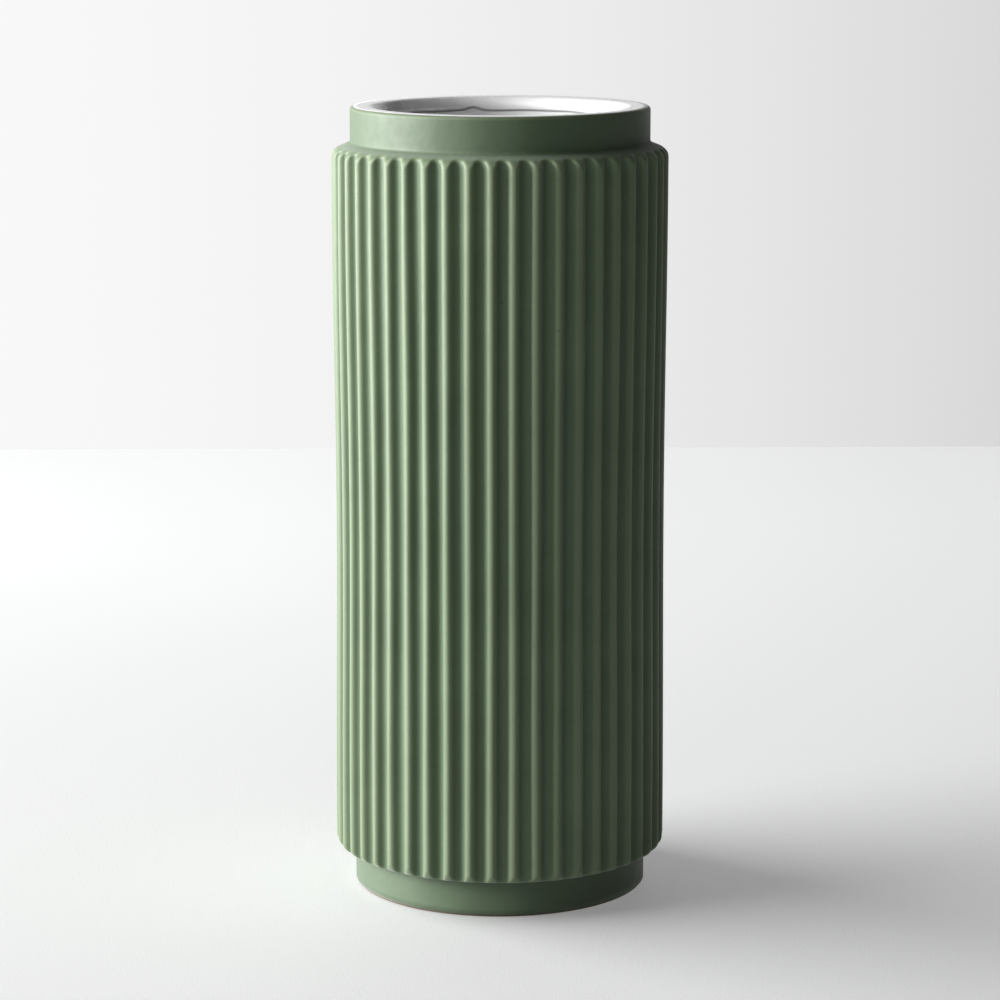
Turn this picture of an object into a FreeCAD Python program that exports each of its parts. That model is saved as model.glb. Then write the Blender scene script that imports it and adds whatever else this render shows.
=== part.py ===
import FreeCAD, Part
import math
import os
import re

import Sketcher

# A tall stoneware vase: a fluted, upright body between a plain neck collar and a plain foot.
#
# The clay is four pieces, luted together while damp and fired as one pot. The fluted wall is a tube
# with a rebate at each end. The neck collar's flange fills the upper rebate and the foot ring's
# flange the lower one, and the floor slab lies on a ledge inside the foot ring. Two glazes lie on
# the clay: a matte green coat outside, and a white liner inside that runs out over the lip.
#
# Frame: millimetres, +Z up along the axis, origin at the centre of the face the vase rests on.
#
# The outside form and the hollow are each built twice, once at the glaze's surface and once at the
# clay's, which lies deeper by the coat's thickness. Every piece is cut from those four shapes, so
# neighbouring pieces meet face to face.

SIZES = (
    ("vase_height", 330.0),  # table to lip, 13 inches
    ("body_radius", 69.85),  # to the crest of a rib, so 5.5 inches across
    ("wall_thickness", 10.0),  # from the crest of a rib to the liner
    ("outer_glaze", 0.4),  # thickness of the green coat
    ("inner_glaze", 0.2),  # thickness of the white liner
    ("collar_radius", 62.2),
    ("collar_height", 15.0),  # shoulder to lip
    ("collar_fillet", 2.0),  # hollow curve where the collar rises from the shoulder
    ("shoulder_slope", 21.5),  # degrees below level
    ("shoulder_round", 4.5),  # from the shoulder into the upright side
    ("lip_outer_round", 1.5),
    ("lip_inner_round", 4.0),
    ("mouth_radius", 50.5),
    ("neck_high", 311.0),  # where the hollow starts to widen below the mouth, before rounding
    ("neck_low", 296.0),  # where it reaches its full width, before rounding
    ("neck_round", 12.0),
    ("floor_top", 12.0),  # the liner's floor above the table
    ("floor_round", 6.0),  # inside corner between floor and wall
    ("foot_radius", 61.7),
    ("foot_height", 16.0),
    ("foot_fillet", 1.0),  # hollow curve where the foot meets the body's underside
    ("foot_edge_round", 0.6),
    ("foot_bare", 0.8),  # height of the bare clay left below the green coat
    ("foot_recess", 3.0),  # depth of the hollow under the floor slab
    ("ledge_width", 4.0),  # how far the foot ring reaches in under the floor slab
    ("underside_round", 4.0),  # from the upright side into the underside
    ("joint_radius", 64.0),  # outside of the two flanges
    ("neck_joint", 290.0),  # lower end of the collar's flange
    ("foot_joint", 24.0),  # upper end of the foot ring's flange
    ("flute_count", 47),
    ("flute_depth", 3.0),
    ("flute_round", 2.55),  # radius of a flute's floor
    ("crest_round", 2.35),  # radius of a rib's crest
    ("crest_relief", 0.02),  # keeps the flutes' centres out, which leaves a narrow land on each rib
    ("land_gap", 0.15),  # from a crest to the edge of each of the two flute cutters beside it
    ("cut_margin", 2.0),  # how far a cutting shape runs past the clay
)

MATCH = 1e-4  # two lengths closer than this are the same
COUNT_SLACK = 0.1  # how far, in flutes, the volume cut away may be from a whole number of them
ORIGIN = FreeCAD.Vector(0, 0, 0)
Z_AXIS = FreeCAD.Vector(0, 0, 1)
FRONT = -90.0  # degrees from +X to the front of the vase, where a flute's floor lies


def fill_sheet(doc):
    """The driving dimensions, one to a row: its name, then its value."""
    sheet = doc.addObject("Spreadsheet::Sheet", "Sizes")
    for row, (alias, value) in enumerate(SIZES, start=1):
        sheet.set("A%d" % row, alias)
        sheet.set("B%d" % row, str(value))
        sheet.setAlias("B%d" % row, alias)
    doc.recompute()


def formula(text):
    """The text with each size pointed at its cell. Every size has an underscore in its name."""
    return re.sub(r"[a-z]+_\w+", r"Sizes.\g<0>", text)


def amount(item, text):
    return float(item.evalExpression(formula(text)))


def bind(item, field, text):
    item.setExpression(field, formula(text))


# Sketches and features


def new_body(doc, name):
    body = doc.addObject("PartDesign::Body", name)
    body.Label = name
    return body


def new_sketch(body, name, role, turn=0.0):
    """A sketch on one of its body's origin planes, turned in that plane by so many degrees."""
    planes = {feature.Role: feature for feature in body.Origin.OriginFeatures}
    sketch = body.newObject("Sketcher::SketchObject", name)
    sketch.AttachmentSupport = (planes[role], [""])
    sketch.MapMode = "FlatFace"
    sketch.AttachmentOffset = FreeCAD.Placement(ORIGIN, FreeCAD.Rotation(Z_AXIS, turn))
    return sketch


def constrain(sketch, rule, *places):
    return sketch.addConstraint(Sketcher.Constraint(rule, *places))


def hold(sketch, rule, text, *places):
    """A dimension that follows its formula."""
    number = constrain(sketch, rule, *places, amount(sketch, text))
    bind(sketch, "Constraints[%d]" % number, text)


def hold_corner(sketch, line, end, across, up):
    """Hold one end of a line or arc at its distance from the axis and its height."""
    for rule, text, axis in (("DistanceX", across, -2), ("DistanceY", up, -1)):
        if text == "0":
            constrain(sketch, "PointOnObject", line, end, axis)
        else:
            hold(sketch, rule, text, -1, 1, line, end)


def add_line(sketch, start, end):
    return sketch.addGeometry(Part.LineSegment(start, end), False)


def add_arc(sketch, centre, radius, start_angle, end_angle):
    """An arc that runs anticlockwise from its first end to its second."""
    circle = Part.Circle(centre, Z_AXIS, radius)
    return sketch.addGeometry(Part.ArcOfCircle(circle, start_angle, end_angle), False)


def add_round(sketch, centre, start, end):
    """The short arc from start to end, and which of its own ends lies at start and at end."""
    first = start - centre
    last = end - centre
    angles = [math.atan2(first.y, first.x), math.atan2(last.y, last.x)]
    if first.cross(last).z > 0:
        return add_arc(sketch, centre, first.Length, *angles), (1, 2)
    return add_arc(sketch, centre, first.Length, *reversed(angles)), (2, 1)


def revolve(body, name, corners):
    """Turn a closed outline about Z, starting at +Y, the back of the vase.

    A corner is its distance from the axis and its height. Where the outline leaves it on an arc,
    the arc's centre follows, as another distance and height.
    """
    sketch = new_sketch(body, name + "Outline", "YZ_Plane")
    points = [FreeCAD.Vector(amount(sketch, item[0]), amount(sketch, item[1]), 0) for item in corners]
    ends = []
    for corner, start, end in zip(corners, points, points[1:] + points[:1]):
        if len(corner) == 2:
            add_line(sketch, start, end)
            ends.append((1, 2))
        else:
            centre = FreeCAD.Vector(amount(sketch, corner[2]), amount(sketch, corner[3]), 0)
            ends.append(add_round(sketch, centre, start, end)[1])
    for edge, corner in enumerate(corners):
        following = (edge + 1) % len(corners)
        constrain(sketch, "Coincident", edge, ends[edge][1], following, ends[following][0])
        hold_corner(sketch, edge, ends[edge][0], *corner[:2])
        if len(corner) > 2:
            hold(sketch, "DistanceX", corner[2], -1, 1, edge, 3)
    turned = body.newObject("PartDesign::Revolution", name)
    turned.Profile = sketch
    turned.ReferenceAxis = (sketch, ["V_Axis"])
    turned.Angle = 360.0
    body.Document.recompute()


def round_ring(body, name, across, up, radius):
    """Round the circular edge at this distance from the axis and this height."""
    base = body.Tip
    ring_radius = amount(base, across)
    ring_height = amount(base, up)
    found = []
    for number, edge in enumerate(base.Shape.Edges, start=1):
        circle = edge.Curve
        if not isinstance(circle, Part.Circle):
            continue
        if abs(circle.Radius - ring_radius) < MATCH and abs(circle.Center.z - ring_height) < MATCH:
            found.append("Edge%d" % number)
    if len(found) != 1:
        raise RuntimeError("%s of %s: %d edges at its place" % (name, body.Label, len(found)))
    rounding = body.newObject("PartDesign::Fillet", name)
    rounding.Base = (base, found)
    bind(rounding, "Radius", radius)
    body.Document.recompute()


def flute_outline(body, skin):
    """One flute at the front: its round floor, a flank on each side and half of each rib.

    The arcs' centres stay where they are at any skin, and only the radii change. So the flute at
    the clay is everywhere deeper than the flute at the glaze by the coat's thickness.
    """
    sketch = new_sketch(body, "FluteOutline", "XY_Plane", FRONT)
    floor_across = "body_radius - flute_depth + flute_round"
    floor_radius = "flute_round + " + skin
    crest_across = "(body_radius - crest_round + crest_relief) * cos(180 / flute_count)"
    crest_aside = "(body_radius - crest_round + crest_relief) * sin(180 / flute_count)"
    crest_radius = "crest_round - " + skin
    edge_aside = "(body_radius - %s) * sin(180 / flute_count) - land_gap" % skin
    outside = "body_radius + cut_margin"

    floor = FreeCAD.Vector(amount(sketch, floor_across), 0, 0)
    floor_size = amount(sketch, floor_radius)
    crest_size = amount(sketch, crest_radius)
    crest_x = amount(sketch, crest_across)
    crest_y = amount(sketch, crest_aside)
    edge_y = amount(sketch, edge_aside)
    outer_x = amount(sketch, outside)
    # The flank touches both arcs, which fixes its slope against the line between their centres.
    apart = math.hypot(floor.x - crest_x, crest_y)
    slope = math.atan2(crest_y, floor.x - crest_x) - math.acos((floor_size + crest_size) / apart)
    edge_angle = math.asin((edge_y - crest_y) / crest_size)

    def polar(centre, radius, angle):
        return centre + FreeCAD.Vector(radius * math.cos(angle), radius * math.sin(angle), 0)

    floor_arc = add_arc(sketch, floor, floor_size, math.pi - slope, math.pi + slope)
    back = add_line(sketch, FreeCAD.Vector(outer_x, -edge_y, 0), FreeCAD.Vector(outer_x, edge_y, 0))
    for side, near, far in ((1, 1, 2), (-1, 2, 1)):
        crest = FreeCAD.Vector(crest_x, side * crest_y, 0)
        edge = polar(crest, crest_size, side * edge_angle)
        flank = add_line(
            sketch,
            polar(floor, floor_size, math.pi - side * slope),
            polar(crest, crest_size, -side * slope),
        )
        rib_arc = add_arc(sketch, crest, crest_size, *sorted((-side * slope, side * edge_angle)))
        way_out = add_line(sketch, edge, FreeCAD.Vector(outer_x, edge.y, 0))
        constrain(sketch, "Tangent", floor_arc, near, flank, 1)
        constrain(sketch, "Tangent", flank, 2, rib_arc, near)
        constrain(sketch, "Coincident", rib_arc, far, way_out, 1)
        constrain(sketch, "Coincident", way_out, 2, back, far)
        constrain(sketch, "Horizontal", way_out)
        hold(sketch, "DistanceX", crest_across, -1, 1, rib_arc, 3)
        hold(sketch, "Radius", crest_radius, rib_arc)
        # A height below the X axis is measured upwards, from the point to the axis.
        for text, place in ((crest_aside, (rib_arc, 3)), (edge_aside, (way_out, 1))):
            ends = (-1, 1) + place if side > 0 else place + (-1, 1)
            hold(sketch, "DistanceY", text, *ends)
    constrain(sketch, "Vertical", back)
    hold(sketch, "DistanceX", outside, -1, 1, back, 1)
    constrain(sketch, "PointOnObject", floor_arc, 3, -1)
    hold(sketch, "DistanceX", floor_across, -1, 1, floor_arc, 3)
    hold(sketch, "Radius", floor_radius, floor_arc)
    return sketch


def cut_flutes(body, skin):
    """Run one flute up through the whole body, then repeat it round the axis."""
    before = body.Tip.Shape.Volume
    sketch = flute_outline(body, skin)
    flute = body.newObject("PartDesign::Pocket", "Flute")
    flute.Profile = sketch
    flute.Type = "ThroughAll"
    flute.Reversed = True
    body.Document.recompute()
    one = before - flute.Shape.Volume
    ring = body.newObject("PartDesign::PolarPattern", "Flutes")
    ring.Originals = [flute]
    ring.Axis = (sketch, ["N_Axis"])
    ring.Angle = 360.0
    bind(ring, "Occurrences", "flute_count")
    body.Tip = ring
    body.Document.recompute()
    every = before - ring.Shape.Volume
    if one <= 0 or abs(every / one - amount(ring, "flute_count")) > COUNT_SLACK:
        raise RuntimeError("%s: one flute takes %.1f mm3, all take %.1f" % (body.Label, one, every))


# The four forms


def outside_form(doc, name, skin):
    """The vase's outside without its hollow, lying deeper than the glaze by skin."""
    foot = "foot_radius - " + skin
    side = "body_radius - " + skin
    collar = "collar_radius - " + skin
    lip = "vase_height - " + skin
    underside = "foot_height + " + skin
    recess = "foot_recess"
    recess_radius = "body_radius - wall_thickness - floor_round - ledge_width"
    # The shoulder falls away from the collar in a cone, then rounds over into the side.
    top = "vase_height - collar_height"
    sink = "%s / cos(shoulder_slope) - %s * tan(shoulder_slope)" % (skin, skin)
    collar_foot = "%s - (%s)" % (top, sink)
    shoulder_across = "body_radius - shoulder_round"
    fall = "(%s - collar_radius) * tan(shoulder_slope)" % shoulder_across
    shoulder_up = "%s - %s - shoulder_round / cos(shoulder_slope)" % (top, fall)
    cone_across = "%s + (shoulder_round - %s) * sin(shoulder_slope)" % (shoulder_across, skin)
    cone_up = "%s + (shoulder_round - %s) * cos(shoulder_slope)" % (shoulder_up, skin)
    under_across = "body_radius - underside_round"
    under_up = "foot_height + underside_round"

    body = new_body(doc, name)
    revolve(body, "Outside", (
        ("0", recess), (recess_radius, recess), (recess_radius, "0"), (foot, "0"),
        (foot, underside), (under_across, underside, under_across, under_up),
        (side, under_up), (side, shoulder_up, shoulder_across, shoulder_up),
        (cone_across, cone_up), (collar, collar_foot), (collar, lip), ("0", lip),
    ))
    round_ring(body, "FootEdge", foot, "0", "foot_edge_round")
    round_ring(body, "FootFillet", foot, underside, "foot_fillet + " + skin)
    round_ring(body, "CollarFillet", collar, collar_foot, "collar_fillet + " + skin)
    round_ring(body, "LipOutside", collar, lip, "lip_outer_round - " + skin)
    cut_flutes(body, skin)
    return body


def hollow_form(doc, name, skin):
    """The air inside the vase and over its lip, reaching further than the liner by skin."""
    floor = "floor_top - " + skin
    wall = "body_radius - wall_thickness + " + skin
    mouth = "mouth_radius + " + skin
    lip = "vase_height - " + skin
    lip_edge = "collar_radius - lip_outer_round"
    above = "vase_height + cut_margin"

    body = new_body(doc, name)
    revolve(body, "Hollow", (
        ("0", floor), (wall, floor), (wall, "neck_low"), (mouth, "neck_high"),
        (mouth, lip), (lip_edge, lip), (lip_edge, above), ("0", above),
    ))
    round_ring(body, "FloorRound", wall, floor, "floor_round + " + skin)
    round_ring(body, "NeckLower", wall, "neck_low", "neck_round")
    round_ring(body, "NeckUpper", mouth, "neck_high", "neck_round")
    round_ring(body, "LipInside", mouth, lip, "lip_inner_round - " + skin)
    return body


def cylinder(doc, name, radius, low, high):
    shape = doc.addObject("Part::Cylinder", name)
    bind(shape, "Radius", radius)
    bind(shape, "Height", "(%s) - (%s)" % (high, low))
    bind(shape, "Placement.Base.z", low)
    return shape


def combine(doc, kind, name, base, tool):
    """Part::Cut takes tool from base; Part::Common keeps what they share."""
    result = doc.addObject(kind, name)
    result.Label = name
    result.Base = base
    result.Tool = tool
    return result


# The sub-parts


def neck_collar(doc, clay, neck_zone):
    """The plain collar, with the shoulder's inner part and the flange below it."""
    return combine(doc, "Part::Common", "neck_collar", clay, neck_zone)


def fluted_wall(doc, clay, neck_zone, foot_zone):
    """The fluted tube, rebated at both ends for the flanges."""
    open_top = combine(doc, "Part::Cut", "WallBelowNeck", clay, neck_zone)
    return combine(doc, "Part::Cut", "fluted_wall", open_top, foot_zone)


def foot_ring(doc, clay, foot_zone, floor_zone):
    """The plain foot, with its flange above and its ledge for the floor slab."""
    whole_foot = combine(doc, "Part::Common", "FootAndFloor", clay, foot_zone)
    return combine(doc, "Part::Cut", "foot_ring", whole_foot, floor_zone)


def floor_slab(doc, clay, floor_zone):
    """The round slab that closes the vase."""
    return combine(doc, "Part::Common", "floor_slab", clay, floor_zone)


def green_glaze(doc, glazed_outside, clay_outside):
    """The matte coat outside, from the lip's outer edge to just above the table."""
    coat = combine(doc, "Part::Cut", "CoatAllRound", glazed_outside, clay_outside)
    lip_edge = "collar_radius - lip_outer_round"
    reach = "body_radius + cut_margin"
    above = "vase_height + cut_margin"
    around = cylinder(doc, "CoatReach", reach, "foot_bare", above)
    within = cylinder(doc, "CoatInside", lip_edge, "0", above)
    zone = combine(doc, "Part::Cut", "CoatZone", around, within)
    return combine(doc, "Part::Common", "green_glaze", coat, zone)


def white_glaze(doc, clay_hollow, glazed_hollow):
    """The gloss liner, over floor, wall and lip."""
    return combine(doc, "Part::Cut", "white_glaze", clay_hollow, glazed_hollow)


def build_vase(doc):
    fill_sheet(doc)
    glazed_outside = outside_form(doc, "GlazedOutside", "0")
    clay_outside = outside_form(doc, "ClayOutside", "outer_glaze")
    glazed_hollow = hollow_form(doc, "GlazedHollow", "0")
    clay_hollow = hollow_form(doc, "ClayHollow", "inner_glaze")
    clay = combine(doc, "Part::Cut", "Clay", clay_outside, clay_hollow)
    above = "vase_height + cut_margin"
    neck_zone = cylinder(doc, "NeckZone", "joint_radius", "neck_joint", above)
    foot_zone = cylinder(doc, "FootZone", "joint_radius", "0 - cut_margin", "foot_joint")
    slab_radius = "body_radius - wall_thickness - floor_round"
    floor_zone = cylinder(doc, "FloorZone", slab_radius, "foot_recess", "floor_top")
    pieces = [
        neck_collar(doc, clay, neck_zone),
        fluted_wall(doc, clay, neck_zone, foot_zone),
        foot_ring(doc, clay, foot_zone, floor_zone),
        floor_slab(doc, clay, floor_zone),
        green_glaze(doc, glazed_outside, clay_outside),
        white_glaze(doc, clay_hollow, glazed_hollow),
    ]
    doc.recompute()
    return pieces


def check(doc, pieces):
    for item in doc.Objects:
        if "Invalid" in item.State or "Error" in item.State:
            raise RuntimeError("%s did not recompute: %s" % (item.Label, item.State))
    for piece in pieces:
        shape = piece.Shape
        if shape.isNull() or not shape.isValid() or len(shape.Solids) != 1:
            raise RuntimeError("%s is not one valid solid" % piece.Label)
        box = shape.BoundBox
        print("%-12s %9.0f mm3, z %.2f to %.2f" % (piece.Label, shape.Volume, box.ZMin, box.ZMax))


def export(pieces):
    os.makedirs("parts", exist_ok=True)
    for piece in pieces:
        piece.Shape.exportStep("parts/%s.step" % piece.Label)


document = FreeCAD.newDocument("Vase")
vase_pieces = build_vase(document)
check(document, vase_pieces)
export(vase_pieces)
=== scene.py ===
"""The looks of the fluted stoneware vase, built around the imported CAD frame."""

import math

import bmesh
import bpy
import numpy as np
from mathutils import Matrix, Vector


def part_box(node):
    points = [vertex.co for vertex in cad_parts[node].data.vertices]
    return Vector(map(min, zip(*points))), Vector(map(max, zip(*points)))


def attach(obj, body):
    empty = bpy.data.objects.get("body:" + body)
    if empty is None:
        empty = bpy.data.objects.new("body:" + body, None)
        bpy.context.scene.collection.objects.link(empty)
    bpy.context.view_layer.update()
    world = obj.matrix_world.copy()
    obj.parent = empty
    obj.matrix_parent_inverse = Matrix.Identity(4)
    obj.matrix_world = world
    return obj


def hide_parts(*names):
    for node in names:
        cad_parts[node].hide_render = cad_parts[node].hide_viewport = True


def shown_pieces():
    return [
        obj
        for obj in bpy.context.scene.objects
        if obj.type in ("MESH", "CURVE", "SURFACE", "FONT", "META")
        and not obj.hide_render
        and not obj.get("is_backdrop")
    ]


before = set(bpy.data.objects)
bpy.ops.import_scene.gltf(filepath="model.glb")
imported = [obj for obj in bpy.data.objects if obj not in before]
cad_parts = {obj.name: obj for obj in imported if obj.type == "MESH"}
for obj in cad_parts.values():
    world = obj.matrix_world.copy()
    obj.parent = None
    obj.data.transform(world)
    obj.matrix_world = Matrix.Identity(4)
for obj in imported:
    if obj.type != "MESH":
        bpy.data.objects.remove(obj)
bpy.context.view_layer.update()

MM = 0.001
TAU = 2 * math.pi


# Sizes read from the frame


def rings(node):
    """The radius and height of each of a CAD node's vertices."""
    points = np.array([v.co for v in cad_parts[node].data.vertices])
    return np.hypot(points[:, 0], points[:, 1]), points[:, 2]


def widest(node, low, high):
    """A CAD node's largest radius between two heights."""
    radius, height = rings(node)
    return float(radius[(height >= low) & (height <= high)].max())


def narrowest(node, low, high):
    """A CAD node's smallest radius between two heights."""
    radius, height = rings(node)
    return float(radius[(height >= low) & (height <= high)].min())


COLLAR_BAND = 13 * MM  # a height from the lip down that is all collar
FOOT_BAND = 10 * MM  # a height from the table up that is all foot

GLAZE_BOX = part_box("green_glaze")
TOP = GLAZE_BOX[1].z
HALF_WAY = 0.5 * TOP
BODY_RADIUS = widest("green_glaze", 0, TOP)
COLLAR_RADIUS = widest("green_glaze", TOP - COLLAR_BAND, TOP)
FOOT_RADIUS = widest("green_glaze", 0, FOOT_BAND)
FOOT_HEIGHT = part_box("fluted_wall")[0].z
SEAM_RADIUS = narrowest("green_glaze", TOP - MM, TOP)
LINER_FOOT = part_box("white_glaze")[0].z
BARE_FOOT = GLAZE_BOX[0].z
BORE_RADIUS = widest("white_glaze", 0, HALF_WAY)
MOUTH_RADIUS = narrowest("white_glaze", HALF_WAY, TOP)
JOINT_RADIUS = widest("foot_ring", 0, TOP)
NECK_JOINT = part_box("neck_collar")[0].z
FOOT_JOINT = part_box("foot_ring")[1].z

# The coats of glaze, and how the outside is rounded
GLAZE = 0.4 * MM
LINER = 0.2 * MM
COLLAR_HEIGHT = 15 * MM
COLLAR_FILLET = 2 * MM
SHOULDER_SLOPE = math.radians(21.5)
SHOULDER_ROUND = 4.5 * MM
LIP_ROUND = 1.5 * MM
FOOT_FILLET = MM
UNDERSIDE_ROUND = 4 * MM
FOOT_TOP = FOOT_HEIGHT - GLAZE

# The inside
FLOOR_ROUND = 6 * MM
NECK_LOW = TOP - 34 * MM
NECK_HIGH = TOP - 19 * MM
NECK_ROUND = 12 * MM
MOUTH_ROUND = 4 * MM

# The flutes: one groove's floor faces the front
FRONT = -math.pi / 2
FLUTES = 47
FLUTE_DEPTH = 3 * MM
FLUTE_ROUND = 2.55 * MM
CREST_ROUND = 2.35 * MM
FLUTE_STEPS = 7
GLAZE_SOFTENING = 1.8 * MM

# What the hand and the kiln did
WAIST = 0.8 * MM
RIB_WANDER = 0.14 * MM
RIB_WAVES = (5, 11, 17, 23, 29)
SKIN_WANDER = 0.08 * MM
SKIN_WAVES = (2, 3, 7, 19)
ROLL_DEPTH = 5.8 * MM
ROLL_THICKNESS = 0.5 * MM
ROLL_WANDER = 0.22 * MM
ROLL_WAVES = (3, 5, 8, 13)
ROLL_EDGE = 0.5 * MM  # height over which the roll reaches its thickness
ROLL_FADE = 4 * MM  # depth below the lip over which the roll comes in
ROLL_SHADOW_SPREAD = 0.28 * MM  # how far the painted shadow line at its edge spreads to each side
RUN_ANGLE = math.pi / 2 + 0.21
RUN_WIDTH = 2.3 * MM
RUN_HEIGHT = 1.3 * MM

# Where the green coat breaks thin and lighter, where the rib crests get a painted highlight, where the
# plain collar and foot get painted shade, and where it meets the white
CREST_BAND = 1.4 * MM
LIP_BAND = 0.8 * MM
LIP_INSET = 0.4 * MM
BARE_EDGE_BAND = 0.8 * MM
# Painted shade on the plain collar and foot: it starts this far inside the crests and is full after the
# band
PAINTED_SHADE_INSET = 4 * MM
PAINTED_SHADE_BAND = 2 * MM
SEAM_BAND = 0.35 * MM
SEAM_HEIGHT = 0.3 * MM
CREST_BREAK_AND_HIGHLIGHT = 0.45  # how much each place adds to the lighter colour, from none at 0 to all at 1; on the crests it is partly a break in the glaze and partly a painted highlight
EDGE_THINS = 0.7
EDGE_CURVE = 0.8
LIP_THINS = 0.7
BARE_EDGE_THINS = 0.2

# How finely the meshes are divided: along the paths, and in turns of a rounded corner
SAME_PLACE = 0.01 * MM  # points closer together than this are one point
WHOLE_STEP = 1e-6  # in steps: keeps a run of exactly so many steps from gaining one more
SHOWN_WALL_STEP = 11 * MM
SHOWN_FINE_STEP = 0.75 * MM
SHOWN_TURN = math.radians(10)
HIDDEN_WALL_STEP = 29 * MM
HIDDEN_FINE_STEP = 3 * MM
HIDDEN_TURN = math.radians(20)
FOOT_STEP = 2.5 * MM
COLLAR_STEP = 2 * MM
FLOOR_STEP = 8 * MM
LIP_STEP = 2 * MM
BORE_STEP = 30 * MM
FLANGE_STEP = 8 * MM
LEDGE_STEP = 3 * MM
REBATE_STEP = 2 * MM
LINER_COLUMNS = 288
LINER_WALL_STEP = 20 * MM
LINER_MOUTH_STEP = 0.4 * MM
LINER_TURN = math.radians(7)
LINER_BACK_WALL_STEP = 40 * MM
LINER_BACK_MOUTH_STEP = 6 * MM
LINER_BACK_TURN = math.radians(15)


# Outlines: paths of (radius, height) points


def corner(radius, height, rounding=0.0, step=None):
    """A path's corner, its rounding, and the spacing of points on the run after it."""
    return (radius, height, rounding, step)


def trace(corners, turn_step):
    """The points of a path of straight runs whose corners are rounded."""
    points = []
    last = len(corners) - 1
    for i, (radius, height, rounding, step) in enumerate(corners):
        here = np.array((radius, height))
        if rounding > 0:
            arc = rounded_corner(corners[i - 1], here, corners[i + 1], rounding, turn_step)
        else:
            arc = [here]
        points.extend(arc)
        if i < last:
            following = corners[i + 1]
            end = np.array(following[:2])
            if following[2] > 0:
                after = corners[i + 2]
                end = rounded_corner(corners[i], end, after, following[2], turn_step)[0]
            start = points[-1]
            count = steps_along(start, end, step)
            for k in range(1, count):
                points.append(start + (end - start) * k / count)
    points = np.array(points)
    apart = np.linalg.norm(np.diff(points, axis=0), axis=1)
    return points[np.concatenate([[True], apart > SAME_PLACE])]


def steps_along(start, end, step):
    """How many equal steps a run is cut into, none longer than step."""
    if not step:
        return 1
    return max(1, math.ceil(np.linalg.norm(end - start) / step - WHOLE_STEP))


def rounded_corner(before, here, after, rounding, turn_step):
    """The points of the arc that rounds a corner."""
    back = np.array(before[:2]) - here
    on = np.array(after[:2]) - here
    back = back / np.linalg.norm(back)
    on = on / np.linalg.norm(on)
    half = math.acos(float(np.clip(back @ on, -1, 1))) / 2
    middle = (back + on) / np.linalg.norm(back + on)
    centre = here + middle * rounding / math.sin(half)
    start = here + back * rounding / math.tan(half) - centre
    end = here + on * rounding / math.tan(half) - centre
    turn = math.pi - 2 * half
    count = max(2, math.ceil(turn / turn_step))
    shares = np.arange(count + 1) / count
    return [
        centre + (start * math.sin((1 - s) * turn) + end * math.sin(s * turn)) / math.sin(turn)
        for s in shares
    ]


def outside_corners(skin, wall_step, fine_step):
    """The outside from the bare foot up to the lip, lying deeper by skin."""
    drop = skin / math.cos(SHOULDER_SLOPE)
    cone_top = TOP - COLLAR_HEIGHT - drop

    def cone(radius):
        """The sloping shoulder's height at a radius."""
        return cone_top - (radius - COLLAR_RADIUS) * math.tan(SHOULDER_SLOPE)

    foot = FOOT_RADIUS - skin
    side = BODY_RADIUS - skin
    collar = COLLAR_RADIUS - skin
    return [
        corner(foot, BARE_FOOT, 0, FOOT_STEP),
        corner(foot, FOOT_TOP + skin, FOOT_FILLET + skin, fine_step),
        corner(side, FOOT_TOP + skin, UNDERSIDE_ROUND - skin, wall_step),
        corner(side, cone(side), SHOULDER_ROUND - skin, fine_step),
        corner(collar, cone(collar), COLLAR_FILLET + skin, COLLAR_STEP),
        corner(collar, TOP - skin, LIP_ROUND - skin, fine_step),
        corner(SEAM_RADIUS, TOP - skin),
    ]


def inside_corners(skin, wall_step, mouth_step):
    """The inside from the middle of the floor to the lip, lying deeper by skin."""
    floor = LINER_FOOT + LINER - skin
    bore = BORE_RADIUS - LINER + skin
    mouth = MOUTH_RADIUS + skin
    return [
        corner(0, floor, 0, FLOOR_STEP),
        corner(bore, floor, FLOOR_ROUND + skin, wall_step),
        corner(bore, NECK_LOW, NECK_ROUND, LIP_STEP),
        corner(mouth, NECK_HIGH, NECK_ROUND, mouth_step),
        corner(mouth, TOP - skin, MOUTH_ROUND - skin, LIP_STEP),
        corner(SEAM_RADIUS, TOP - skin),
    ]


# Flutes


def flute_columns(skin):
    """Round the whole vase: each column's angle, and how far out the flutes leave it."""
    floor_x = BODY_RADIUS - FLUTE_DEPTH + FLUTE_ROUND
    crest_at = BODY_RADIUS - CREST_ROUND
    half = math.pi / FLUTES
    crest_x = crest_at * math.cos(half)
    crest_y = crest_at * math.sin(half)
    floor_size = FLUTE_ROUND + skin
    crest_size = CREST_ROUND - skin
    apart = math.hypot(floor_x - crest_x, crest_y)
    slope = math.atan2(crest_y, floor_x - crest_x) - math.acos((floor_size + crest_size) / apart)

    arc_steps = (FLUTE_STEPS - 1) // 2
    outline = []
    for k in range(arc_steps + 1):
        angle = math.pi - slope * k / arc_steps
        outline.append((floor_x + floor_size * math.cos(angle), floor_size * math.sin(angle)))
    for k in range(arc_steps + 1):
        angle = -slope + (slope + half) * k / arc_steps
        outline.append((crest_x + crest_size * math.cos(angle), crest_y + crest_size * math.sin(angle)))
    outline = np.array(outline)
    turn = np.arctan2(outline[:, 1], outline[:, 0])
    reach = np.hypot(outline[:, 0], outline[:, 1])
    one_turn = np.concatenate([-turn[:0:-1], turn[:-1]])
    one_reach = np.concatenate([reach[:0:-1], reach[:-1]])
    starts = FRONT + np.arange(FLUTES) * TAU / FLUTES
    angles = (starts[:, None] + one_turn[None, :]).ravel()
    return angles, np.tile(one_reach, FLUTES)


NO_SOFTNESS = 1e-9  # metres: stands for a sharp crossover, and keeps the division sound


def soft_least(a, b, softness):
    """The smaller of a and b with the crossover rounded, and how close each point is to it."""
    softness = np.maximum(softness, NO_SOFTNESS)
    near = np.clip(softness - np.abs(a - b), 0, None) / softness
    return np.minimum(a, b) - near * near * softness / 4, near


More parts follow.
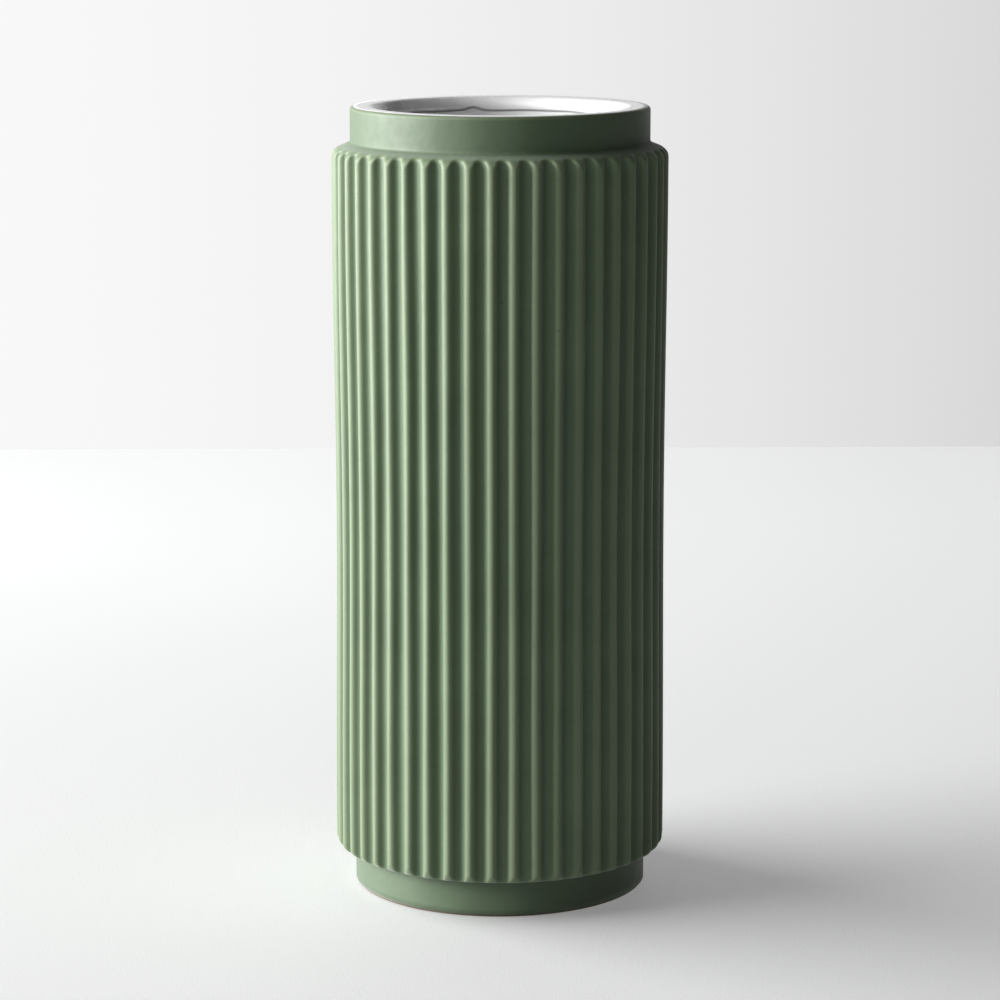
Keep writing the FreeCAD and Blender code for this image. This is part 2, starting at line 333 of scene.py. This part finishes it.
def ripple(angle, height, amplitude, seed, around, along):
    """A gentle unevenness: a few waves round the vase and along it, with fixed seeds."""
    dice = np.random.default_rng(seed)
    total = np.zeros(np.broadcast(angle, height).shape)
    for waves_round in around:
        phase = dice.uniform(0, TAU)
        waves_up = dice.uniform(-along, along)
        total = total + np.sin(waves_round * angle + waves_up * TAU * height / TOP + phase)
    return amplitude * total / math.sqrt(len(around))


def waist(height):
    """How far the fluted wall draws in, nothing at both ends and most in the middle."""
    share = np.clip((height - FOOT_JOINT) / (NECK_JOINT - FOOT_JOINT), 0, 1)
    return WAIST * np.sin(math.pi * share) ** 2


def fluted_surface(path, skin):
    """The grid of points that a path makes round the axis with the flutes cut in, and how close
    each point is to a flute's edge."""
    angles, reach = flute_columns(skin)
    radius = path[:, 0][:, None]
    height = path[:, 1][:, None]
    softness = np.clip((BODY_RADIUS - skin - radius) / GLAZE_SOFTENING, 0, 1) * GLAZE_SOFTENING
    cut, edge = soft_least(radius, reach[None, :], softness)
    angle = np.broadcast_to(angles[None, :], cut.shape)
    wander = ripple(angle, height, RIB_WANDER, seed=3, around=RIB_WAVES, along=3.0)
    swell = ripple(angle, height, SKIN_WANDER, seed=4, around=SKIN_WAVES, along=2.0)
    cut = cut - waist(height) + swell
    turned = angle + wander / BODY_RADIUS
    points = np.stack(
        [cut * np.cos(turned), cut * np.sin(turned), np.broadcast_to(height, cut.shape)], axis=-1
    )
    return points, edge


def plain_surface(path, count):
    """The grid of points that a path makes round the axis."""
    angle = np.arange(count)[None, :] * TAU / count
    radius = path[:, 0][:, None]
    height = path[:, 1][:, None]
    flat = radius * np.ones_like(angle)
    return np.stack([flat * np.cos(angle), flat * np.sin(angle), height + 0 * flat], axis=-1)


# Meshes


def closed_mesh(name, rows, values=None):
    """A piece from a closed loop of rows of points, each row going round the axis."""
    count, across = rows.shape[:2]
    mesh = bpy.data.meshes.new(name)
    index = np.arange(count * across).reshape(count, across)
    above = np.roll(index, -1, axis=0)
    quads = np.stack(
        [index, np.roll(index, -1, axis=1), np.roll(above, -1, axis=1), above], axis=-1
    ).reshape(-1, 4)
    mesh.from_pydata(rows.reshape(-1, 3).tolist(), [], quads.tolist())
    for label, value in (values or {}).items():
        layer = mesh.attributes.new(label, "FLOAT", "POINT")
        layer.data.foreach_set("value", np.ascontiguousarray(value, np.float32).ravel())
    mesh.shade_smooth()
    piece = bpy.data.objects.new(name, mesh)
    bpy.context.scene.collection.objects.link(piece)
    return piece


def merge_poles(piece):
    """Join the points that lie on the axis, and drop the faces that this leaves flat."""
    work = bmesh.new()
    work.from_mesh(piece.data)
    bmesh.ops.remove_doubles(work, verts=work.verts, dist=SAME_PLACE)
    bmesh.ops.dissolve_degenerate(work, edges=work.edges, dist=SAME_PLACE)
    work.to_mesh(piece.data)
    work.free()


# Nodes


def material(name):
    """A new node material, and its empty node tree."""
    made = bpy.data.materials.new(name)
    made.use_nodes = True
    tree = made.node_tree
    tree.nodes.clear()
    return made, tree


def add(tree, kind, **settings):
    """A node, with its properties and unlinked inputs set by name."""
    node = tree.nodes.new(kind)
    for key, value in settings.items():
        if hasattr(node, key):
            setattr(node, key, value)
        else:
            node.inputs[key.replace("_", " ")].default_value = value
    return node


def link(tree, source, target):
    """Join one node's output to another's input."""
    tree.links.new(source, target)


def noise(tree, place, scale, detail=3.0, roughness=0.5):
    """A noise texture in the vase's own metres."""
    node = add(tree, "ShaderNodeTexNoise", Scale=scale, Detail=detail, Roughness=roughness)
    link(tree, place, node.inputs["Vector"])
    return node.outputs["Fac"]


def spread(tree, value, low, high, start=0.0, end=1.0):
    """A value taken from one range to another and held there."""
    node = add(tree, "ShaderNodeMapRange")
    node.inputs["From Min"].default_value = low
    node.inputs["From Max"].default_value = high
    node.inputs["To Min"].default_value = start
    node.inputs["To Max"].default_value = end
    link(tree, value, node.inputs["Value"])
    return node.outputs["Result"]


def blend(tree, amount, first, second):
    """A mix of two colours, each a colour or another node's output."""
    node = add(tree, "ShaderNodeMix", data_type="RGBA")
    link(tree, amount, node.inputs["Factor"])
    for socket, colour in ((node.inputs[6], first), (node.inputs[7], second)):
        if isinstance(colour, tuple):
            socket.default_value = colour + (1.0,)
        else:
            link(tree, colour, socket)
    return node.outputs[2]


def scaled(tree, value, factor):
    """A value times a constant."""
    node = add(tree, "ShaderNodeMath", operation="MULTIPLY")
    link(tree, value, node.inputs[0])
    node.inputs[1].default_value = factor
    return node.outputs[0]


def bump(tree, layers):
    """Bump nodes one after another: each layer is (height, distance in metres)."""
    normal = None
    for height, distance in layers:
        node = add(tree, "ShaderNodeBump", Strength=1.0, Distance=distance)
        link(tree, height, node.inputs["Height"])
        if normal is not None:
            link(tree, normal, node.inputs["Normal"])
        normal = node.outputs["Normal"]
    return normal


def attribute(tree, name):
    """One of the values that closed_mesh stores on the points."""
    return add(tree, "ShaderNodeAttribute", attribute_name=name).outputs["Fac"]


def finish_shader(tree, colour, roughness, normal, **settings):
    """The surface shader with its constants set on its own sockets."""
    shader = add(tree, "ShaderNodeBsdfPrincipled")
    for key, value in settings.items():
        shader.inputs[key.replace("_", " ")].default_value = value
    output = add(tree, "ShaderNodeOutputMaterial")
    link(tree, colour, shader.inputs["Base Color"])
    link(tree, roughness, shader.inputs["Roughness"])
    link(tree, normal, shader.inputs["Normal"])
    link(tree, shader.outputs["BSDF"], output.inputs["Surface"])


# Materials

GREEN = (0.074, 0.116, 0.060)
GREEN_DEEP = (0.062, 0.101, 0.050)
# Painted shade: the darker green of the plain collar and foot
GREEN_PAINTED_SHADE = (0.048, 0.078, 0.038)
# Lighter green where the glaze breaks at the edges, lip and foot, and a painted highlight on the rib
# crests
GREEN_BREAK_AND_HIGHLIGHT = (0.155, 0.185, 0.100)
SEAM_OLIVE = (0.060, 0.070, 0.030)
PINHOLE = (0.045, 0.050, 0.030)
WHITE = (0.68, 0.68, 0.68)
WHITE_CLOUD = (0.62, 0.62, 0.625)
# Painted shadow: the grey of the line along the liner's rolled edge
WHITE_PAINTED_SHADOW = (0.20, 0.20, 0.185)
WHITE_SPECK = (0.30, 0.26, 0.20)
CLAY = (0.160, 0.110, 0.074)
CLAY_DARK = (0.095, 0.062, 0.040)
CLAY_GRIT = (0.22, 0.17, 0.12)
CLAY_IRON = (0.035, 0.022, 0.015)
FLOOR = (0.86, 0.865, 0.87)
FLOOR_GRAIN = (0.77, 0.775, 0.78)
FLOOR_GLOW = 0.23
BACKDROP_LIT = (0.94, 0.94, 0.94)
BACKDROP_FAR = (0.69, 0.69, 0.69)
BACKDROP_FALL = (-0.35, 0.39)  # where along X the wall starts and stops falling off
BACKDROP_CURVE = 1.6
# How strongly the lighter breaks with their painted highlight on the crests are mixed in
BREAK_AND_HIGHLIGHT_STRENGTH = 0.55
# How strongly the painted shade on the collar and foot is mixed in
PAINTED_SHADE_STRENGTH = 0.8


def green_glaze_material():
    """A matte glaze: cloudy, satin, lighter and yellower where it breaks over an edge, lighter on the
    rib crests partly as a painted highlight, and darker on the plain collar and foot as painted shade.
    """
    made, tree = material("matte_green_glaze")
    place = add(tree, "ShaderNodeTexCoord").outputs["Object"]
    clouds = spread(tree, noise(tree, place, scale=38, detail=4), low=0.32, high=0.68)
    colour = blend(tree, clouds, GREEN_DEEP, GREEN)
    # Painted shade: the plain collar and foot are coloured darker
    painted_shade = scaled(tree, attribute(tree, "painted_shade"), PAINTED_SHADE_STRENGTH)
    colour = blend(tree, painted_shade, colour, GREEN_PAINTED_SHADE)
    # Lighter where the glaze breaks at an edge, and a painted highlight on the rib crests
    break_and_highlight = scaled(tree, attribute(tree, "break_and_highlight"), BREAK_AND_HIGHLIGHT_STRENGTH)
    colour = blend(tree, break_and_highlight, colour, GREEN_BREAK_AND_HIGHLIGHT)
    colour = blend(tree, attribute(tree, "seam"), colour, SEAM_OLIVE)
    specks = spread(tree, noise(tree, place, scale=520, detail=2), low=0.745, high=0.80)
    colour = blend(tree, specks, colour, PINHOLE)
    satin = noise(tree, place, scale=160, detail=3)
    roughness = spread(tree, satin, low=0.3, high=0.7, start=0.57, end=0.65)
    normal = bump(tree, (
        (noise(tree, place, scale=60, detail=2), 0.25 * MM),
        (noise(tree, place, scale=420, detail=3), 0.05 * MM),
        (noise(tree, place, scale=2200, detail=2), 0.012 * MM),
    ))
    finish_shader(
        tree, colour, roughness, normal,
        IOR=1.5, Sheen_Weight=0.22, Sheen_Roughness=0.45,
    )
    return made


def white_glaze_material():
    """A glossy white liner, with a painted grey shadow line along its rolled edge."""
    made, tree = material("gloss_white_glaze")
    place = add(tree, "ShaderNodeTexCoord").outputs["Object"]
    clouds = spread(tree, noise(tree, place, scale=30, detail=3), low=0.35, high=0.65)
    colour = blend(tree, clouds, WHITE_CLOUD, WHITE)
    # Painted shadow: a grey line along the rolled edge
    colour = blend(tree, attribute(tree, "roll"), colour, WHITE_PAINTED_SHADOW)
    specks = spread(tree, noise(tree, place, scale=640, detail=2), low=0.76, high=0.80)
    colour = blend(tree, specks, colour, WHITE_SPECK)
    gloss = noise(tree, place, scale=90, detail=3)
    roughness = spread(tree, gloss, low=0.3, high=0.7, start=0.22, end=0.32)
    normal = bump(tree, (
        (noise(tree, place, scale=70, detail=2), 0.20 * MM),
        (noise(tree, place, scale=600, detail=2), 0.01 * MM),
    ))
    finish_shader(tree, colour, roughness, normal, IOR=1.5, Coat_Weight=0.25, Coat_Roughness=0.2)
    return made


def clay_material():
    """Bare fired stoneware: warm brown, gritty, with iron specks."""
    made, tree = material("stoneware")
    place = add(tree, "ShaderNodeTexCoord").outputs["Object"]
    clouds = spread(tree, noise(tree, place, scale=45, detail=5), low=0.3, high=0.7)
    colour = blend(tree, clouds, CLAY_DARK, CLAY)
    grit = spread(tree, noise(tree, place, scale=900, detail=3), low=0.60, high=0.72)
    colour = blend(tree, grit, colour, CLAY_GRIT)
    iron = spread(tree, noise(tree, place, scale=330, detail=2), low=0.70, high=0.76)
    colour = blend(tree, iron, colour, CLAY_IRON)
    dryness = noise(tree, place, scale=260, detail=3)
    roughness = spread(tree, dryness, low=0.3, high=0.7, start=0.78, end=0.92)
    normal = bump(tree, (
        (noise(tree, place, scale=180, detail=4), 0.20 * MM),
        (noise(tree, place, scale=1400, detail=3), 0.06 * MM),
    ))
    finish_shader(tree, colour, roughness, normal, IOR=1.45)
    return made


def floor_material():
    """A pale, faintly grained tabletop, with a faint glow of its own."""
    made, tree = material("pale_floor")
    place = add(tree, "ShaderNodeTexCoord").outputs["Object"]
    tone = spread(tree, noise(tree, place, scale=900, detail=2), low=0.3, high=0.7)
    colour = blend(tree, tone, FLOOR_GRAIN, FLOOR)
    wear = noise(tree, place, scale=300, detail=2)
    roughness = spread(tree, wear, low=0.3, high=0.7, start=0.6, end=0.7)
    normal = bump(tree, ((noise(tree, place, scale=900, detail=3), 0.16 * MM),))
    finish_shader(
        tree, colour, roughness, normal, IOR=1.4,
        Emission_Color=(1.0, 1.0, 1.0, 1.0), Emission_Strength=FLOOR_GLOW,
    )
    return made


def backdrop_material():
    """A pale wall that shines by itself and falls off gently from the lit side."""
    made, tree = material("pale_backdrop")
    place = add(tree, "ShaderNodeTexCoord").outputs["Object"]
    parts = add(tree, "ShaderNodeSeparateXYZ")
    link(tree, place, parts.inputs[0])
    across = spread(tree, parts.outputs["X"], *BACKDROP_FALL)
    curve = add(tree, "ShaderNodeMath", operation="POWER")
    link(tree, across, curve.inputs[0])
    curve.inputs[1].default_value = BACKDROP_CURVE
    colour = blend(tree, curve.outputs[0], BACKDROP_LIT, BACKDROP_FAR)
    glow = add(tree, "ShaderNodeEmission")
    output = add(tree, "ShaderNodeOutputMaterial")
    link(tree, colour, glow.inputs["Color"])
    link(tree, glow.outputs[0], output.inputs["Surface"])
    return made


# Pieces


def lip_seam(points):
    """How much of each point lies on the thin line where the two glazes meet."""
    radius = np.hypot(points[..., 0], points[..., 1])
    near_top = points[..., 2] > TOP - SEAM_HEIGHT
    return np.clip(1 - (radius - SEAM_RADIUS) / SEAM_BAND, 0, 1) * near_top


def break_and_highlight_mask(points, edge):
    """How much lighter the green coat is coloured: where it breaks over the flutes' edges, the lip and
    the foot, and on the crests, partly as a break in the glaze and partly as a painted highlight.
    """
    radius = np.hypot(points[..., 0], points[..., 1])
    height = points[..., 2]
    crest = np.clip((radius - BODY_RADIUS + WAIST + CREST_BAND) / CREST_BAND, 0, 1)
    lip = np.clip(1 - np.abs(radius - COLLAR_RADIUS + LIP_INSET) / LIP_BAND, 0, 1)
    lip = lip * (height > TOP - LIP_ROUND)
    foot = np.clip(1 - (height - BARE_FOOT) / BARE_EDGE_BAND, 0, 1)
    break_and_highlight = CREST_BREAK_AND_HIGHLIGHT * crest + EDGE_THINS * edge ** EDGE_CURVE
    return np.clip(break_and_highlight + LIP_THINS * lip + BARE_EDGE_THINS * foot, 0, 1)


def painted_collar_foot_shade(points):
    """Painted shade: how much darker the green coat is coloured wherever the vase is narrower than the
    flutes' floors, on the plain collar and foot.
    """
    radius = np.hypot(points[..., 0], points[..., 1])
    return np.clip((BODY_RADIUS - PAINTED_SHADE_INSET - radius) / PAINTED_SHADE_BAND, 0, 1)


def green_coat(finish):
    """The matte coat: a closed shell over the collar, the flutes and the foot."""
    outer_path = trace(outside_corners(0, SHOWN_WALL_STEP, SHOWN_FINE_STEP), SHOWN_TURN)
    inner_path = trace(outside_corners(GLAZE, HIDDEN_WALL_STEP, HIDDEN_FINE_STEP), HIDDEN_TURN)
    outer, edge = fluted_surface(outer_path, 0)
    inner, _ = fluted_surface(inner_path[::-1], GLAZE)
    rows = np.concatenate([outer, inner])
    hidden = np.zeros(inner.shape[:2])
    piece = closed_mesh("green_glaze_coat", rows, {
        # Painted shade on the collar and foot; lighter breaks with a painted highlight on the crests;
        # the olive seam
        "painted_shade": np.concatenate([painted_collar_foot_shade(outer), hidden]),
        "break_and_highlight": np.concatenate([break_and_highlight_mask(outer, edge), hidden]),
        "seam": np.concatenate([lip_seam(outer), hidden]),
    })
    dress(piece, finish, "green_glaze")
    return piece


JOINT_SLACK = 0.1 * MM  # a point no further out than this past the joint has no flutes


def clay_wall(finish):
    """The fluted clay tube under the coat, rebated at both ends for the neck and the foot."""
    whole = outside_corners(GLAZE, HIDDEN_WALL_STEP, HIDDEN_FINE_STEP)
    under = corner(JOINT_RADIUS, FOOT_HEIGHT, 0, LEDGE_STEP)
    shoulder_end = TOP - COLLAR_HEIGHT - GLAZE / math.cos(SHOULDER_SLOPE)
    shoulder_end -= (JOINT_RADIUS - COLLAR_RADIUS) * math.tan(SHOULDER_SLOPE)
    corners = [under] + whole[2:4] + [
        corner(JOINT_RADIUS, shoulder_end, 0, FLANGE_STEP),
        corner(JOINT_RADIUS, NECK_JOINT, 0, REBATE_STEP),
        corner(BORE_RADIUS, NECK_JOINT, 0, BORE_STEP),
        corner(BORE_RADIUS, FOOT_JOINT, 0, REBATE_STEP),
        corner(JOINT_RADIUS, FOOT_JOINT),
    ]
    path = trace(corners, HIDDEN_TURN)
    angles, reach = flute_columns(GLAZE)
    rows, _ = fluted_surface(path, GLAZE)
    bare = (path[:, 0] < JOINT_RADIUS + JOINT_SLACK)[:, None]
    plain = path[:, 0][:, None] * np.ones_like(reach)[None, :]
    rows[..., 0] = np.where(bare, plain * np.cos(angles), rows[..., 0])
    rows[..., 1] = np.where(bare, plain * np.sin(angles), rows[..., 1])
    piece = closed_mesh("fluted_clay_wall", rows)
    dress(piece, finish, "fluted_wall")
    return piece


def roll_height(angle):
    """Where the liner's rolled edge ends below the lip, round the mouth."""
    level = np.zeros_like(angle)
    uneven = ripple(angle, level, ROLL_WANDER, seed=8, around=ROLL_WAVES, along=0.0)
    apart = (angle - RUN_ANGLE + math.pi) % TAU - math.pi
    run = RUN_HEIGHT * np.exp(-0.5 * (apart * MOUTH_RADIUS / RUN_WIDTH) ** 2)
    return TOP - ROLL_DEPTH + uneven + run


def white_liner(finish):
    """The glossy liner: a closed shell over the floor, the inside wall, the mouth and the lip."""
    face = trace(inside_corners(0, LINER_WALL_STEP, LINER_MOUTH_STEP), LINER_TURN)
    back_corners = inside_corners(LINER, LINER_BACK_WALL_STEP, LINER_BACK_MOUTH_STEP)
    back = trace(back_corners, LINER_BACK_TURN)[::-1]
    shown = plain_surface(face, LINER_COLUMNS)
    angle = np.arange(LINER_COLUMNS)[None, :] * TAU / LINER_COLUMNS
    height = shown[..., 2]
    line = roll_height(angle)
    rise = np.clip((height - line) / ROLL_EDGE, 0, 1)
    rise = rise * rise * (3 - 2 * rise)
    fade = np.clip((TOP - height) / ROLL_FADE, 0, 1)
    radius = np.hypot(shown[..., 0], shown[..., 1])
    smaller = radius - ROLL_THICKNESS * rise * fade * (radius < MOUTH_RADIUS + MOUTH_ROUND)
    shown[..., 0] = smaller * np.cos(angle)
    shown[..., 1] = smaller * np.sin(angle)
    # Painted shadow: a grey line along the edge of the roll
    painted_shadow_line = np.exp(-0.5 * ((height - line) / ROLL_SHADOW_SPREAD) ** 2)
    painted_shadow_line = painted_shadow_line * (radius < MOUTH_RADIUS + MM)
    hidden = plain_surface(back, LINER_COLUMNS)
    # The path runs the other way round its shell from the coat's, so its rows are reversed
    rows = np.concatenate([shown, hidden])[::-1]
    # The roll values are the painted shadow line along the rolled edge
    piece = closed_mesh("white_glaze_liner", rows, {
        "roll": np.concatenate([painted_shadow_line, np.zeros(hidden.shape[:2])])[::-1],
    })
    merge_poles(piece)
    dress(piece, finish, "white_glaze")
    return piece


def dress(piece, finish, node):
    """Give a piece its material, hang it from the root, and hide the CAD node it stands for."""
    piece.data.materials.append(finish)
    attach(piece, "root")
    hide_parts(node)


def dress_clay_nodes(finish):
    """Give the clay pieces that keep their CAD meshes their material."""
    for name in ("neck_collar", "foot_ring", "floor_slab"):
        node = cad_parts[name]
        node.data.materials.clear()
        node.data.materials.append(finish)


# Stage, camera and light

CAMERA_TURN = math.radians(-91.1)
CAMERA_DISTANCE = 1.448
CAMERA_HEIGHT = 0.436
CAMERA_DIP = math.radians(10.64)
CAMERA_LENS = 125.6
CAMERA_SENSOR = 36
CAMERA_CLIP = (0.05, 20)
FLOOR_REACH = 2.2
BACKDROP_DISTANCE = 1.08
BACKDROP_HALF_WIDTH = 0.9
BACKDROP_HEIGHT = 0.8
WORLD_SEEN = 0.86
WORLD_FELT = 0.012


def toward(turn_from_camera, elevation, distance):
    """A place seen from the vase: turned from the camera's side (left is negative) and raised."""
    turn = CAMERA_TURN + turn_from_camera
    level = distance * math.cos(elevation)
    return Vector((level * math.cos(turn), level * math.sin(turn), distance * math.sin(elevation)))


def flat_piece(name, corners, finish):
    """A single face that belongs to the stage."""
    mesh = bpy.data.meshes.new(name)
    mesh.from_pydata(corners, [], [tuple(range(len(corners)))])
    mesh.materials.append(finish)
    made = bpy.data.objects.new(name, mesh)
    bpy.context.scene.collection.objects.link(made)
    made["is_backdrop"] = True
    return made


def set_stage():
    """The floor the vase stands on, and the wall behind it."""
    far = BACKDROP_DISTANCE
    flat_piece("floor", [
        (-FLOOR_REACH, -FLOOR_REACH, 0),
        (FLOOR_REACH, -FLOOR_REACH, 0),
        (FLOOR_REACH, far, 0),
        (-FLOOR_REACH, far, 0),
    ], floor_material())
    flat_piece("backdrop", [
        (-BACKDROP_HALF_WIDTH, far, 0),
        (BACKDROP_HALF_WIDTH, far, 0),
        (BACKDROP_HALF_WIDTH, far, BACKDROP_HEIGHT),
        (-BACKDROP_HALF_WIDTH, far, BACKDROP_HEIGHT),
    ], backdrop_material())


def area_light(name, place, aim, width, height, watts):
    """A rectangular soft light at a place, facing the point it is aimed at."""
    data = bpy.data.lights.new(name, "AREA")
    data.shape = "RECTANGLE"
    data.size = width
    data.size_y = height
    data.energy = watts
    lamp = bpy.data.objects.new(name, data)
    lamp.location = place
    lamp.rotation_mode = "QUATERNION"
    lamp.rotation_quaternion = (Vector(aim) - Vector(place)).to_track_quat("-Z", "Y")
    bpy.context.scene.collection.objects.link(lamp)
    return lamp


def lit_by(lamp, name, receivers):
    """Let a lamp light only these objects, though everything still casts its shadow."""
    group = bpy.data.collections.new("lit_as_" + name)
    for item in receivers:
        group.objects.link(item)
    lamp.light_linking.receiver_collection = group


def set_lights():
    """A low key and a weak top light for the vase, and a wide light for the floor and wall."""
    middle = Vector((0, 0, TOP / 2))
    key_place = middle + toward(math.radians(-88), math.radians(14), distance=1.6)
    key = area_light("key", key_place, middle, width=1.3, height=0.95, watts=110)
    lit_by(key, "vase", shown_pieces())
    top_place = toward(math.radians(-48), math.radians(45), distance=1.7)
    top = area_light("top", top_place, middle, width=1.4, height=1.2, watts=12)
    lit_by(top, "vase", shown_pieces())
    floor_place = toward(math.radians(-94), math.radians(38), distance=3.4)
    floor_light = area_light(
        "floor_light", floor_place, aim=(0.3, -0.7, 0), width=3.6, height=2.4, watts=146
    )
    lit_by(floor_light, "stage", [bpy.data.objects["floor"], bpy.data.objects["backdrop"]])


def set_world():
    """A plain grey to the camera, which gives almost no light."""
    world = bpy.data.worlds.new("studio")
    bpy.context.scene.world = world
    world.use_nodes = True
    tree = world.node_tree
    tree.nodes.clear()
    grey = (WORLD_SEEN, WORLD_SEEN, WORLD_SEEN, 1)
    seen = add(tree, "ShaderNodeBackground", Color=grey, Strength=1.0)
    felt = add(tree, "ShaderNodeBackground", Color=(1, 1, 1, 1), Strength=WORLD_FELT)
    path = add(tree, "ShaderNodeLightPath")
    choose = add(tree, "ShaderNodeMixShader")
    output = add(tree, "ShaderNodeOutputWorld")
    link(tree, path.outputs["Is Camera Ray"], choose.inputs[0])
    link(tree, felt.outputs[0], choose.inputs[1])
    link(tree, seen.outputs[0], choose.inputs[2])
    link(tree, choose.outputs[0], output.inputs["Surface"])


def set_camera():
    """The camera, tilted down at the vase, with no shift."""
    data = bpy.data.cameras.new("camera")
    data.lens = CAMERA_LENS
    data.sensor_width = CAMERA_SENSOR
    data.clip_start, data.clip_end = CAMERA_CLIP
    camera = bpy.data.objects.new("camera", data)
    camera.location = (
        CAMERA_DISTANCE * math.cos(CAMERA_TURN),
        CAMERA_DISTANCE * math.sin(CAMERA_TURN),
        CAMERA_HEIGHT,
    )
    look = Vector((
        -math.cos(CAMERA_TURN) * math.cos(CAMERA_DIP),
        -math.sin(CAMERA_TURN) * math.cos(CAMERA_DIP),
        -math.sin(CAMERA_DIP),
    ))
    camera.rotation_mode = "QUATERNION"
    camera.rotation_quaternion = look.to_track_quat("-Z", "Y")
    bpy.context.scene.collection.objects.link(camera)
    bpy.context.scene.camera = camera


def build():
    """The whole scene: the pieces, then the stage, lights, world and camera."""
    clay = clay_material()
    green_coat(green_glaze_material())
    clay_wall(clay)
    white_liner(white_glaze_material())
    dress_clay_nodes(clay)
    set_stage()
    set_lights()
    set_world()
    set_camera()
    bpy.context.scene.view_settings.view_transform = "Standard"


build()
